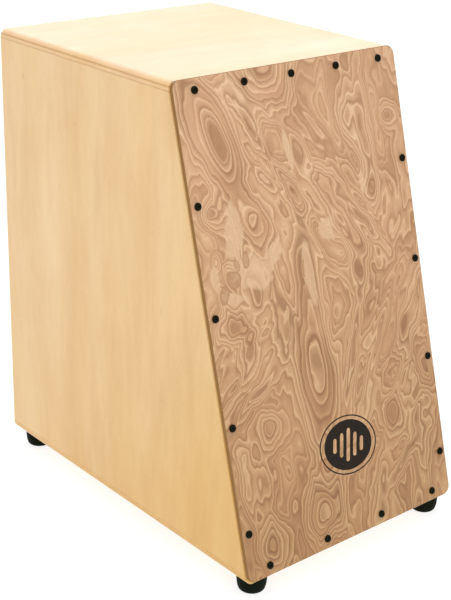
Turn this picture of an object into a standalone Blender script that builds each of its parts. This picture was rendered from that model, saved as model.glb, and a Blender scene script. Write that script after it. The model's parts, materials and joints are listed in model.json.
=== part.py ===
"""Cajon with a slanted playing face: plywood box, screwed-on tapa, rubber feet and a fixed snare inside.

Metres, +Z up. The origin is on the floor, under the middle of the object's bounding box. The playing face
looks along -Y and leans back towards its top edge. +X is the player's left when seated on the box, which is
the right-hand side of the object seen from the front.
"""
import math

import bmesh
import bpy
from mathutils import Matrix, Vector

# Box
BOX_WIDTH = 0.300
BOX_HEIGHT = 0.481           # top to underside of the boards, without the feet
TOP_DEPTH = 0.2910           # back of the box to the front edge of the top board
BOTTOM_DEPTH = 0.4265        # the same along the bottom board
BOARD = 0.018                # plywood of the top, bottom and side boards
LAP = BOARD / 2              # depth of the top's lap joints, and of the rabbet that takes the back panel
BOTTOM_LAP = 0.0102          # height of the bottom board's ledges under the side panels
EDGE_ROUND = 0.0085          # round-over of the edges that run from front to back
ROUND_STEPS = 6              # facets in each quarter round
GAP = 0.0003                 # clearance wherever two pieces meet

# Tapa (the playing face)
TAPA_THICKNESS = 0.004
TAPA_LIP = 0.002             # the tapa stops this far above the bottom of the box
TAPA_REVEAL = 0.0015         # the tapa stops this far inside the sides of the box
TAPA_CORNER = 0.0095
TOP_SCREWS = 5
TOP_SCREW_SPAN = 0.2462      # between the outermost screws of the top row
TOP_SCREW_INSET = 0.0116
BOTTOM_SCREWS = 4
BOTTOM_SCREW_SPAN = 0.2398
BOTTOM_SCREW_INSET = 0.0106
SIDE_SCREWS = 4
SIDE_SCREW_FIRST = 0.1195    # down the slope from the top edge of the tapa
SIDE_SCREW_PITCH = 0.1093
SIDE_SCREW_INSET = 0.0097

# Back panel
PORT_RADIUS = 0.060
PORT_HEIGHT = 0.280          # centre of the port above the underside of the box
PORT_SIDES = 48

# Feet
FOOT_HEIGHT = 0.019
FOOT_TOP_RADIUS = 0.0156
FOOT_BOTTOM_RADIUS = 0.0143
FOOT_EDGE_ROUND = 0.0042
FOOT_SIDES = 28
FOOT_SIDE_INSET = 0.0222
FOOT_FRONT_INSET = 0.0167
FOOT_BACK_INSET = 0.0198
FOOT_RECESS_RADIUS = 0.0064
FOOT_RECESS_DEPTH = 0.0105   # from the floor up to the washer's seat
WASHER_RADIUS = 0.0058
WASHER_THICKNESS = 0.0012

# Snare, in the plane of the tapa: distances down the slope and behind the boards' front edges
SNARE_BAR_DOWN = 0.150
SNARE_BAR_HEIGHT = 0.020
SNARE_BAR_DEPTH = 0.018
SNARE_BAR_BEHIND = 0.0062    # front face of the bar behind the boards' front edges
CLEAT_WIDTH = 0.022
CLEAT_HEIGHT = 0.044
CLEAT_DEPTH = 0.022
SNARE_OFFSET = 0.060         # middle of each snare set from the centre line
SNARE_PLATE_WIDTH = 0.066
SNARE_PLATE_HEIGHT = 0.013
SNARE_PLATE_THICKNESS = 0.0009
SNARE_WIRES = 12
SNARE_WIRE_RADIUS = 0.0009
SNARE_WIRE_LENGTH = 0.096
SNARE_WIRE_SIDES = 6
SNARE_SCREW_SPACING = 0.050

# Screws: head radius, head height, shank radius, shank length
TAPA_SCREW = (0.0039, 0.0024, 0.00175, 0.0165)
FOOT_SCREW = (0.0042, 0.0026, 0.00210, 0.0175)
CLEAT_SCREW = (0.0038, 0.0024, 0.00175, 0.0290)
BAR_SCREW = (0.0038, 0.0024, 0.00175, 0.0310)
SNARE_SCREW = (0.0030, 0.0017, 0.00140, 0.0110)
SCREW_CROWN = 0.5            # flat middle of a screw's head, as a share of the head's radius
SCREW_SIDES = 12
HOLE_SIDES = 12

# Derived
SLANT = math.atan2(BOTTOM_DEPTH - TOP_DEPTH, BOX_HEIGHT)
SLOPE_LENGTH = math.hypot(BOTTOM_DEPTH - TOP_DEPTH, BOX_HEIGHT)
TAPA_LENGTH = SLOPE_LENGTH - TAPA_LIP
TAPA_OUTER = GAP + TAPA_THICKNESS
SCREW_SEAT = TAPA_OUTER + GAP
# The heads of the bottom row stand furthest out, at the rim of their flat crowns.
CROWN_RADIUS = TAPA_SCREW[0] * SCREW_CROWN
FRONT_REACH = (SCREW_SEAT + TAPA_SCREW[1]) * math.cos(SLANT)
FRONT_REACH += (TAPA_LENGTH - BOTTOM_SCREW_INSET + CROWN_RADIUS) * math.sin(SLANT)
BACK_Y = (TOP_DEPTH + FRONT_REACH) / 2
HALF_WIDTH = BOX_WIDTH / 2
INNER_HALF = HALF_WIDTH - BOARD
BASE_Z = FOOT_HEIGHT
TOP_Z = BASE_Z + BOX_HEIGHT

# Colours: red, green, blue, roughness, metallic
PALE_WOOD = ("pale_plywood", 0.80, 0.58, 0.34, 0.42, 0.0)
TAPA_WOOD = ("figured_veneer", 0.60, 0.38, 0.22, 0.40, 0.0)
BAR_WOOD = ("hardwood", 0.62, 0.44, 0.27, 0.60, 0.0)
BLACK_STEEL = ("black_oxide_steel", 0.02, 0.02, 0.02, 0.40, 0.9)
ZINC_STEEL = ("zinc_plated_steel", 0.62, 0.62, 0.60, 0.30, 1.0)
RUBBER = ("black_rubber", 0.015, 0.017, 0.014, 0.75, 0.0)
SNARE_STEEL = ("snare_wire_steel", 0.70, 0.69, 0.66, 0.25, 1.0)


def clear_scene():
    for obj in list(bpy.data.objects):
        bpy.data.objects.remove(obj, do_unlink=True)


def give_material(obj, colours):
    """A Principled material of the object's own, named after it."""
    name, red, green, blue, roughness, metallic = colours
    material = bpy.data.materials.new(f"{name}_{obj.name}")
    material.use_nodes = True
    shader = material.node_tree.nodes["Principled BSDF"]
    shader.inputs["Base Color"].default_value = (red, green, blue, 1.0)
    shader.inputs["Roughness"].default_value = roughness
    shader.inputs["Metallic"].default_value = metallic
    obj.data.materials.clear()
    obj.data.materials.append(material)


def mesh_from(name, build):
    """A mesh that build(bm) fills, with its faces turned outwards."""
    bm = bmesh.new()
    build(bm)
    bmesh.ops.recalc_face_normals(bm, faces=bm.faces)
    mesh = bpy.data.meshes.new(name)
    bm.to_mesh(mesh)
    bm.free()
    return mesh


def add_object(name, mesh, parent=None, matrix=None):
    obj = bpy.data.objects.new(name, mesh)
    bpy.context.scene.collection.objects.link(obj)
    obj.parent = parent
    if matrix is not None:
        obj.matrix_local = matrix
    return obj


def add_part(name, mesh, colours, parent=None, matrix=None, smooth=False):
    obj = add_object(name, mesh, parent, matrix)
    if smooth:
        mesh.shade_smooth()
        mesh.set_sharp_from_angle(angle=math.radians(35))
    give_material(obj, colours)
    return obj


def hide_cutter(obj):
    obj.hide_render = True
    obj.display_type = "WIRE"


def cut(target, cutter):
    """Take the cutter's shape out of the target."""
    hide_cutter(cutter)
    modifier = target.modifiers.new(f"cut_{cutter.name}", "BOOLEAN")
    modifier.operation = "DIFFERENCE"
    modifier.object = cutter


def front_y(z):
    """Front edge of the boards at height z above the floor."""
    return BACK_Y - TOP_DEPTH - (TOP_Z - z) * math.tan(SLANT)


def quarter_round(centre_x, centre_z, radius, start, turn):
    """Points of a quarter circle in an XZ outline, from angle start, turning by turn degrees."""
    points = []
    for step in range(ROUND_STEPS + 1):
        angle = math.radians(start + turn * step / ROUND_STEPS)
        points.append((centre_x + radius * math.cos(angle), centre_z + radius * math.sin(angle)))
    return points


def bridge_outlines(bm, first, second):
    """Close the solid between two outlines of equal length."""
    count = len(first)
    bm.faces.new(first)
    bm.faces.new(reversed(second))
    for index in range(count):
        following = (index + 1) % count
        bm.faces.new((first[following], first[index], second[index], second[following]))


def board_mesh(name, outline):
    """A board with the XZ outline, from the slanted front plane to the back of the box."""
    def build(bm):
        front = [bm.verts.new((x, front_y(z), z)) for x, z in outline]
        back = [bm.verts.new((x, BACK_Y, z)) for x, z in outline]
        bridge_outlines(bm, front, back)
    return mesh_from(name, build)


def box_mesh(name, low, high):
    def build(bm):
        middle = (Vector(low) + Vector(high)) / 2
        size = Vector(high) - Vector(low)
        bmesh.ops.create_cube(bm, size=1.0, matrix=Matrix.Translation(middle) @ Matrix.Diagonal((*size, 1.0)))
    return mesh_from(name, build)


def turned_mesh(name, profile, sides):
    """A solid of revolution about Z. A profile that starts and ends on the axis gives a plain solid,
    and any other profile is a closed loop that gives a ring."""
    closed_loop = profile[0][0] > 0

    def build(bm):
        rings = []
        for radius, height in profile:
            if radius == 0:
                rings.append([bm.verts.new((0, 0, height))] * sides)
                continue
            turn = [2 * math.pi * side / sides for side in range(sides)]
            rings.append([bm.verts.new((radius * math.cos(a), radius * math.sin(a), height)) for a in turn])
        pairs = list(zip(rings, rings[1:]))
        if closed_loop:
            pairs.append((rings[-1], rings[0]))
        for upper, lower in pairs:
            for side in range(sides):
                following = (side + 1) % sides
                corners = [upper[side], upper[following], lower[following], lower[side]]
                bm.faces.new(dict.fromkeys(corners))
    return mesh_from(name, build)


def hole_cutters(name, places, radius, low, high, parent=None):
    """One object with an upright cylinder at each (x, y) place, from low to high in the parent's Z."""
    def build(bm):
        for x, y in places:
            middle = Matrix.Translation((x, y, (low + high) / 2))
            bmesh.ops.create_cone(bm, cap_ends=True, segments=HOLE_SIDES, radius1=radius, radius2=radius,
                                  depth=high - low, matrix=middle)
    return add_object(name, mesh_from(name, build), parent)


def cross_cutter_mesh(name, arm, width, depth):
    """The cross-shaped driver recess, sunk from above to the given depth."""
    half = width / 2
    outline = [(half, half), (half, arm), (-half, arm), (-half, half), (-arm, half), (-arm, -half),
               (-half, -half), (-half, -arm), (half, -arm), (half, -half), (arm, -half), (arm, half)]

    def build(bm):
        upper = [bm.verts.new((x, y, arm)) for x, y in outline]
        lower = [bm.verts.new((x * 0.6, y * 0.6, -depth)) for x, y in outline]
        bridge_outlines(bm, upper, lower)
    return mesh_from(name, build)


def screw_mesh(name, size):
    """A pan head wood screw along Z: the underside of the head is at Z 0 and the point is below it."""
    head_radius, head_height, shank_radius, length = size
    point = shank_radius * 2.2
    profile = [
        (0, head_height),
        (head_radius * SCREW_CROWN, head_height),
        (head_radius * 0.84, head_height * 0.76),
        (head_radius, head_height * 0.36),
        (head_radius * 0.97, 0),
        (shank_radius, 0),
        (shank_radius, point - length),
        (0, -length),
    ]
    plain = add_object(f"{name}_blank", turned_mesh(f"{name}_blank", profile, SCREW_SIDES))
    cross = cross_cutter_mesh(f"{name}_cross", head_radius * 0.52, head_radius * 0.24, head_height * 0.55)
    cutter = add_object(f"{name}_cutter", cross, matrix=Matrix.Translation((0, 0, head_height)))
    cut(plain, cutter)
    bpy.context.view_layer.update()
    evaluated = plain.evaluated_get(bpy.context.evaluated_depsgraph_get())
    mesh = bpy.data.meshes.new_from_object(evaluated)
    mesh.name = name
    for helper in (plain, cutter):
        bpy.data.objects.remove(helper, do_unlink=True)
    return mesh


def slanted_frame():
    """An empty on the top front edge of the boards: X across, Y up the slope, Z out of the playing face."""
    frame = add_object("playing_face_frame", None)
    frame.location = (0, front_y(TOP_Z), TOP_Z)
    frame.rotation_euler = (math.pi / 2 - SLANT, 0, 0)
    return frame


def tapa_screw_places():
    """Name of each tapa screw, and its place across and up the slope in the slanted frame."""
    places = {}
    for index in range(TOP_SCREWS):
        across = TOP_SCREW_SPAN * (index / (TOP_SCREWS - 1) - 0.5)
        places[f"tapa_screw_top_{index + 1}"] = (across, -TOP_SCREW_INSET)
    for index in range(BOTTOM_SCREWS):
        across = BOTTOM_SCREW_SPAN * (index / (BOTTOM_SCREWS - 1) - 0.5)
        places[f"tapa_screw_bottom_{index + 1}"] = (across, BOTTOM_SCREW_INSET - TAPA_LENGTH)
    for index in range(SIDE_SCREWS):
        down = SIDE_SCREW_FIRST + SIDE_SCREW_PITCH * index
        places[f"tapa_screw_left_{index + 1}"] = (SIDE_SCREW_INSET - HALF_WIDTH, -down)
        places[f"tapa_screw_right_{index + 1}"] = (HALF_WIDTH - SIDE_SCREW_INSET, -down)
    return places


def top_board_outline(lap=LAP):
    """Flat top with rounded edges, and a tongue below it that fits between the side panels."""
    lap_z = TOP_Z - lap
    inner = INNER_HALF - GAP
    centre_x = HALF_WIDTH - EDGE_ROUND
    centre_z = TOP_Z - EDGE_ROUND
    outline = [(inner, TOP_Z - BOARD), (inner, lap_z), (HALF_WIDTH, lap_z)]
    outline += quarter_round(centre_x, centre_z, EDGE_ROUND, 0, 90)
    outline += quarter_round(-centre_x, centre_z, EDGE_ROUND, 90, 90)
    outline += [(-HALF_WIDTH, lap_z), (-inner, lap_z), (-inner, TOP_Z - BOARD)]
    return outline


def bottom_board_outline():
    """The top board's outline upside down, with its own lap."""
    return [(x, BASE_Z + TOP_Z - z) for x, z in reversed(top_board_outline(BOTTOM_LAP))]


def side_panel_outline(side):
    """Upright panel between the laps of the top and bottom boards; side is -1 for the left, 1 for the right."""
    low = BASE_Z + BOTTOM_LAP + GAP
    high = TOP_Z - LAP - GAP
    outer, inner = side * HALF_WIDTH, side * INNER_HALF
    return [(outer, low), (inner, low), (inner, high), (outer, high)]


def make_box_boards():
    boards = {
        "top_board": board_mesh("top_board", top_board_outline()),
        "bottom_board": board_mesh("bottom_board", bottom_board_outline()),
        "left_side_panel": board_mesh("left_side_panel", side_panel_outline(-1)),
        "right_side_panel": board_mesh("right_side_panel", side_panel_outline(1)),
    }
    return {name: add_part(name, mesh, PALE_WOOD, smooth=True) for name, mesh in boards.items()}


def cut_back_rabbet(boards):
    """The step around the back opening that the back panel drops into."""
    low = (-HALF_WIDTH + LAP, BACK_Y - LAP, BASE_Z + LAP)
    high = (HALF_WIDTH - LAP, BACK_Y + LAP, TOP_Z - LAP)
    cutter = add_object("back_rabbet", box_mesh("back_rabbet", low, high))
    for board in boards.values():
        cut(board, cutter)


def make_back_panel():
    inset = LAP + GAP
    low = (-HALF_WIDTH + inset, BACK_Y - LAP + GAP, BASE_Z + inset)
    high = (HALF_WIDTH - inset, BACK_Y, TOP_Z - inset)
    panel = add_part("back_panel", box_mesh("back_panel", low, high), PALE_WOOD, smooth=True)

    def build(bm):
        place = Matrix.Translation((0, BACK_Y, BASE_Z + PORT_HEIGHT)) @ Matrix.Rotation(math.pi / 2, 4, "X")
        bmesh.ops.create_cone(bm, cap_ends=True, segments=PORT_SIDES, radius1=PORT_RADIUS, radius2=PORT_RADIUS,
                              depth=BOARD * 2, matrix=place)
    cut(panel, add_object("sound_port", mesh_from("sound_port", build)))


def tapa_outline():
    """Rounded rectangle in the slanted frame."""
    centre_x = HALF_WIDTH - TAPA_REVEAL - TAPA_CORNER
    upper, lower = -TAPA_CORNER, TAPA_CORNER - TAPA_LENGTH
    outline = quarter_round(centre_x, lower, TAPA_CORNER, -90, 90)
    outline += quarter_round(centre_x, upper, TAPA_CORNER, 0, 90)
    outline += quarter_round(-centre_x, upper, TAPA_CORNER, 90, 90)
    outline += quarter_round(-centre_x, lower, TAPA_CORNER, 180, 90)
    return outline


def make_tapa(frame):
    def build(bm):
        outer = [bm.verts.new((x, y, TAPA_OUTER)) for x, y in tapa_outline()]
        inner = [bm.verts.new((x, y, GAP)) for x, y in tapa_outline()]
        bridge_outlines(bm, outer, inner)
    tapa = add_part("tapa", mesh_from("tapa", build), TAPA_WOOD, frame, smooth=True)
    holes = hole_cutters("tapa_holes", tapa_screw_places().values(), TAPA_SCREW[2] + GAP, -TAPA_THICKNESS,
                         TAPA_THICKNESS * 3, frame)
    cut(tapa, holes)


def make_tapa_screws(frame, boards):
    """The ring of screws, and their pilot holes in the front edges of the boards."""
    mesh = screw_mesh("tapa_screw", TAPA_SCREW)
    for name, (x, y) in tapa_screw_places().items():
        add_part(name, mesh.copy(), BLACK_STEEL, frame, Matrix.Translation((x, y, SCREW_SEAT)), smooth=True)
    depth = TAPA_SCREW[3] - SCREW_SEAT + GAP
    board_of = {"top": "top_board", "bottom": "bottom_board", "left": "left_side_panel",
                "right": "right_side_panel"}
    for row, board in board_of.items():
        places = [place for name, place in tapa_screw_places().items() if f"_{row}_" in name]
        holes = hole_cutters(f"pilot_holes_{row}", places, TAPA_SCREW[2] + GAP, -depth, BOARD, frame)
        cut(boards[board], holes)


def foot_profile():
    """Ring profile of a foot, with its sole at Z 0: tapered wall, rounded sole edge, washer recess."""
    top = FOOT_HEIGHT - GAP
    hole = FOOT_SCREW[2] + GAP
    centre_r = FOOT_BOTTOM_RADIUS - FOOT_EDGE_ROUND
    taper = math.atan2(FOOT_TOP_RADIUS - FOOT_BOTTOM_RADIUS, FOOT_HEIGHT)
    profile = [(hole, top), (FOOT_TOP_RADIUS, top)]
    for step in range(ROUND_STEPS + 1):
        angle = -taper + (taper - math.pi / 2) * step / ROUND_STEPS
        profile.append((centre_r + FOOT_EDGE_ROUND * math.cos(angle),
                        FOOT_EDGE_ROUND + FOOT_EDGE_ROUND * math.sin(angle)))
    profile += [(FOOT_RECESS_RADIUS, 0), (FOOT_RECESS_RADIUS, FOOT_RECESS_DEPTH), (hole, FOOT_RECESS_DEPTH)]
    return profile


def foot_places():
    """Centre of each foot on the floor."""
    x = HALF_WIDTH - FOOT_SIDE_INSET
    front = front_y(BASE_Z) + FOOT_FRONT_INSET
    back = BACK_Y - FOOT_BACK_INSET
    return {"front_left": (-x, front), "front_right": (x, front), "back_left": (-x, back), "back_right": (x, back)}


def washer_profile(bottom):
    hole = FOOT_SCREW[2] + GAP
    top = bottom + WASHER_THICKNESS
    return [(hole, top), (WASHER_RADIUS, top), (WASHER_RADIUS, bottom), (hole, bottom)]


def make_feet(bottom_board):
    """Each foot, its washer and the screw that goes up through them into the bottom board."""
    washer_bottom = FOOT_RECESS_DEPTH - GAP - WASHER_THICKNESS
    seat = washer_bottom - GAP
    foot = turned_mesh("foot", foot_profile(), FOOT_SIDES)
    washer = turned_mesh("foot_washer", washer_profile(washer_bottom), SCREW_SIDES * 2)
    screw = screw_mesh("foot_screw", FOOT_SCREW)
    head_down = Matrix.Translation((0, 0, seat)) @ Matrix.Rotation(math.pi, 4, "X")
    for corner, (x, y) in foot_places().items():
        place = Matrix.Translation((x, y, 0))
        add_part(f"foot_{corner}", foot.copy(), RUBBER, matrix=place, smooth=True)
        add_part(f"foot_washer_{corner}", washer.copy(), ZINC_STEEL, matrix=place, smooth=True)
        add_part(f"foot_screw_{corner}", screw.copy(), ZINC_STEEL, matrix=place @ head_down, smooth=True)
    holes = hole_cutters("foot_pilot_holes", foot_places().values(), FOOT_SCREW[2] + GAP, 0,
                         seat + FOOT_SCREW[3] + GAP)
    cut(bottom_board, holes)


def make_snare_bar(frame):
    """The bar across the box, with clearance holes for its own screws and pilot holes for the snare screws."""
    half = INNER_HALF - GAP
    down = (-SNARE_BAR_DOWN - SNARE_BAR_HEIGHT / 2, -SNARE_BAR_DOWN + SNARE_BAR_HEIGHT / 2)
    front = -SNARE_BAR_BEHIND
    back = front - SNARE_BAR_DEPTH
    bar = add_part("snare_bar", box_mesh("snare_bar", (-half, down[0], back), (half, down[1], front)),
                   BAR_WOOD, frame)
    ends = [(side * cleat_centre(), -SNARE_BAR_DOWN) for side in (-1, 1)]
    cut(bar, hole_cutters("bar_end_holes", ends, BAR_SCREW[2] + GAP, back - BOARD, front + BOARD, frame))
    pilot_end = snare_seat() - SNARE_SCREW[3] - GAP
    cut(bar, hole_cutters("snare_pilot_holes", snare_screw_places().values(), SNARE_SCREW[2] + GAP,
                          pilot_end, front + BOARD, frame))


def cleat_centre():
    return INNER_HALF - GAP - CLEAT_WIDTH / 2


def cleat_front():
    """Front face of the cleats, just behind the bar."""
    return -SNARE_BAR_BEHIND - SNARE_BAR_DEPTH - GAP


def make_cleats(frame, boards):
    """Block on each side panel that carries one end of the bar, and its screws."""
    bar_screw = screw_mesh("bar_screw", BAR_SCREW)
    cleat_screw = screw_mesh("cleat_screw", CLEAT_SCREW)
    bar_seat = -SNARE_BAR_BEHIND + GAP
    middle = cleat_front() - CLEAT_DEPTH / 2
    for name, side in (("left", -1), ("right", 1)):
        wall = side * (INNER_HALF - GAP)
        free = wall - side * CLEAT_WIDTH
        low = (min(wall, free), -SNARE_BAR_DOWN - CLEAT_HEIGHT / 2, cleat_front() - CLEAT_DEPTH)
        high = (max(wall, free), -SNARE_BAR_DOWN + CLEAT_HEIGHT / 2, cleat_front())
        cleat = add_part(f"snare_cleat_{name}", box_mesh(f"snare_cleat_{name}", low, high), BAR_WOOD, frame)
        centre = side * cleat_centre()
        pilot_end = bar_seat - BAR_SCREW[3] - GAP
        cut(cleat, hole_cutters(f"bar_pilot_{name}", [(centre, -SNARE_BAR_DOWN)], BAR_SCREW[2] + GAP,
                                pilot_end, BOARD, frame))
        add_part(f"bar_screw_{name}", bar_screw.copy(), BLACK_STEEL, frame,
                 Matrix.Translation((centre, -SNARE_BAR_DOWN, bar_seat)), smooth=True)
        # The cleat's own screws point outwards through it into the side panel.
        heads_inwards = Matrix.Rotation(-side * math.pi / 2, 4, "Y")
        panel = boards[f"{name}_side_panel"]
        for row, step in (("upper", 1), ("lower", -1)):
            down = -SNARE_BAR_DOWN + step * CLEAT_HEIGHT * 0.32
            place = Matrix.Translation((free - side * GAP, down, middle)) @ heads_inwards
            add_part(f"cleat_screw_{name}_{row}", cleat_screw.copy(), BLACK_STEEL, frame, place, smooth=True)
            holes = hole_cutters(f"cleat_hole_{name}_{row}", [(0, 0)], CLEAT_SCREW[2] + GAP,
                                 -CLEAT_SCREW[3] - GAP, BOARD, frame)
            holes.matrix_local = place
            cut(cleat, holes)
            cut(panel, holes)


def snare_plate_back():
    return -SNARE_BAR_BEHIND + GAP


def snare_seat():
    """Where the heads of the snare screws sit."""
    return snare_plate_back() + SNARE_PLATE_THICKNESS + GAP


def snare_screw_places():
    places = {}
    for name, side in (("left", -1), ("right", 1)):
        for end, step in (("inner", -side), ("outer", side)):
            across = side * SNARE_OFFSET + step * SNARE_SCREW_SPACING / 2
            places[f"snare_screw_{name}_{end}"] = (across, -SNARE_BAR_DOWN)
    return places


def make_snare_set(name, side, frame):
    """Snare wires fixed to a steel end plate. They rise from the plate to just behind the tapa."""
    centre = side * SNARE_OFFSET
    half = SNARE_PLATE_WIDTH / 2
    back = snare_plate_back()
    front = back + SNARE_PLATE_THICKNESS
    low = (centre - half, -SNARE_BAR_DOWN - SNARE_PLATE_HEIGHT / 2, back)
    high = (centre + half, -SNARE_BAR_DOWN + SNARE_PLATE_HEIGHT / 2, front)
    snare = add_part(name, box_mesh(name, low, high), SNARE_STEEL, frame)
    root = Vector((0, high[1] - SNARE_PLATE_HEIGHT * 0.25, front + SNARE_WIRE_RADIUS * 0.4))
    tip = Vector((0, root.y + SNARE_WIRE_LENGTH, -GAP - SNARE_WIRE_RADIUS))
    along = tip - root
    turn = along.to_track_quat("Z", "X").to_matrix().to_4x4()
    pitch = (SNARE_PLATE_WIDTH - 8 * SNARE_WIRE_RADIUS) / (SNARE_WIRES - 1)

    def build(bm):
        for index in range(SNARE_WIRES):
            x = centre + (index - (SNARE_WIRES - 1) / 2) * pitch
            middle = (root + tip) / 2 + Vector((x, 0, 0))
            bmesh.ops.create_cone(bm, cap_ends=True, segments=SNARE_WIRE_SIDES, radius1=SNARE_WIRE_RADIUS,
                                  radius2=SNARE_WIRE_RADIUS, depth=along.length,
                                  matrix=Matrix.Translation(middle) @ turn)
    wires = add_object(f"{name}_wires", mesh_from(f"{name}_wires", build), frame)
    hide_cutter(wires)
    join = snare.modifiers.new("join_wires", "BOOLEAN")
    join.operation = "UNION"
    join.object = wires
    places = [place for screw, place in snare_screw_places().items() if place[0] * side > 0]
    cut(snare, hole_cutters(f"{name}_holes", places, SNARE_SCREW[2] + GAP, back - BOARD, front + BOARD, frame))


def make_snares(frame):
    make_snare_set("snare_set_left", -1, frame)
    make_snare_set("snare_set_right", 1, frame)
    screw = screw_mesh("snare_screw", SNARE_SCREW)
    for name, (x, y) in snare_screw_places().items():
        add_part(name, screw.copy(), ZINC_STEEL, frame, Matrix.Translation((x, y, snare_seat())), smooth=True)


def main():
    clear_scene()
    frame = slanted_frame()
    boards = make_box_boards()
    cut_back_rabbet(boards)
    make_back_panel()
    make_tapa(frame)
    make_tapa_screws(frame, boards)
    make_feet(boards["bottom_board"])
    make_snare_bar(frame)
    make_cleats(frame, boards)
    make_snares(frame)


main()
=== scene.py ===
import json
import math
import random

import bmesh
import bpy
from mathutils import Matrix, Vector


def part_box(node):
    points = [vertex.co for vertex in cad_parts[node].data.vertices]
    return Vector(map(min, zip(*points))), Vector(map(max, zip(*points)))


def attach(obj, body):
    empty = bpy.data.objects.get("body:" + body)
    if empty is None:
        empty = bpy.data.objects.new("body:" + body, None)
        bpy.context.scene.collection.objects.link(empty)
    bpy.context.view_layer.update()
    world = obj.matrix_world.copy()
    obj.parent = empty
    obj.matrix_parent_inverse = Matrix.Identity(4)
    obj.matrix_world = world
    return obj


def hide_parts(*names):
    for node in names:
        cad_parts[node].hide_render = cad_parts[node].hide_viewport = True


# Looks of a cajon: figured veneer playing face on a pale plywood box. Metres, +Z up, in the frame of the
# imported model. Each CAD node is replaced by a finer mesh in the same place.

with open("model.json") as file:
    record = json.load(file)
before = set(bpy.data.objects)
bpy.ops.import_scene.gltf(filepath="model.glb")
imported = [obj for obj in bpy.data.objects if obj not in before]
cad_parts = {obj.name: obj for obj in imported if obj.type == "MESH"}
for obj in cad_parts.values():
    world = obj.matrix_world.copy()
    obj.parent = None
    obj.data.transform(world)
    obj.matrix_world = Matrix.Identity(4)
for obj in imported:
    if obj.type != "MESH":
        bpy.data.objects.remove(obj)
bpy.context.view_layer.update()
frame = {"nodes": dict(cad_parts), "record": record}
random.seed(7)

# Sizes that the solids share with the design
BOARD = 0.018
LAP = 0.009
BOTTOM_LAP = 0.0102
GAP = 0.0003
GLUE_LINE = 0.0001
EDGE_ROUND = 0.0085
TAPA_CORNER = 0.0095
PORT_RADIUS = 0.060
FOOT_BOTTOM_RADIUS = 0.0143
FOOT_EDGE_ROUND = 0.0042
FOOT_RECESS_RADIUS = 0.0064
FOOT_HOLE_RADIUS = 0.0024

# Small rounds and chamfers of the looks
FOOT_TOP_EASE = 0.0006
FOOT_SHOULDER = (0.0001, 0.0004)     # in from the foot's side and down from its top
FOOT_SWELL = 0.0005
RECESS_EASE = 0.0004
WASHER_EASE = 0.0002
PORT_ROUND = 0.0016
BOARD_EASE = 0.00025
PANEL_EASE = 0.0004
TAPA_EASE = 0.0009
BLOCK_EASE = 0.0008
PLATE_EASE = 0.00015

# Screws: head radius, head height, shank radius
TAPA_SCREW = (0.0039, 0.0024, 0.00175)
BLOCK_SCREW = (0.0038, 0.0024, 0.00175)
SNARE_SCREW = (0.0030, 0.0017, 0.00140)
FOOT_SCREW = (0.0042, 0.0026, 0.00210)

# Snare sets
WIRES = 12
WIRE_RADIUS = 0.00022
WIRE_SIDES = 4
COIL_RADIUS = 0.00066
COIL_PITCH = 0.0011
COIL_STEPS = 8
WIRE_MARGIN = 0.0036         # from the plate's edge to the first wire
PLATE_HEIGHT = 0.013
PLATE_THICKNESS = 0.0009
PLATE_CORNER = 0.002

# Fineness
ARC_STEPS = 14               # facets in a quarter round
TURN_SIDES = 64              # sides of a turned piece
SCREW_SIDES = 40
CROWN_STEPS = 9              # facets from the middle of a screw's head to its wall
PORT_SIDES = 144
WASHER_SIDES = 48
EMBLEM_SIDES = 96

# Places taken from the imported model
top_low, top_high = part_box("top_board")
bottom_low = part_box("bottom_board")[0]
panel_low, panel_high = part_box("back_panel")
TOP_Z = top_high.z
BASE_Z = bottom_low.z
BACK_Y = top_high.y
HALF_WIDTH = top_high.x
INNER_HALF = HALF_WIDTH - BOARD
SLANT = math.atan2(top_low.y - bottom_low.y, top_low.z - bottom_low.z)


def front_y(z):
    """Front edge of the boards at height z."""
    return bottom_low.y + (z - BASE_Z) * math.tan(SLANT)


# The playing face's own frame: X across, Y up the slope, Z out of the face.
FACE = Matrix.Translation((0, front_y(TOP_Z), TOP_Z)) @ Matrix.Rotation(math.pi / 2 - SLANT, 4, "X")


def face_points(node):
    """Points of a CAD node in the playing face's frame."""
    back = FACE.inverted()
    return [back @ vertex.co for vertex in frame["nodes"][node].data.vertices]


def face_box(node):
    """Lowest and highest corner of a CAD node in the playing face's frame."""
    points = face_points(node)
    low = Vector([min(point[axis] for point in points) for axis in range(3)])
    high = Vector([max(point[axis] for point in points) for axis in range(3)])
    return low, high


tapa_low, tapa_high = face_box("tapa")


# ---- materials

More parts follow.
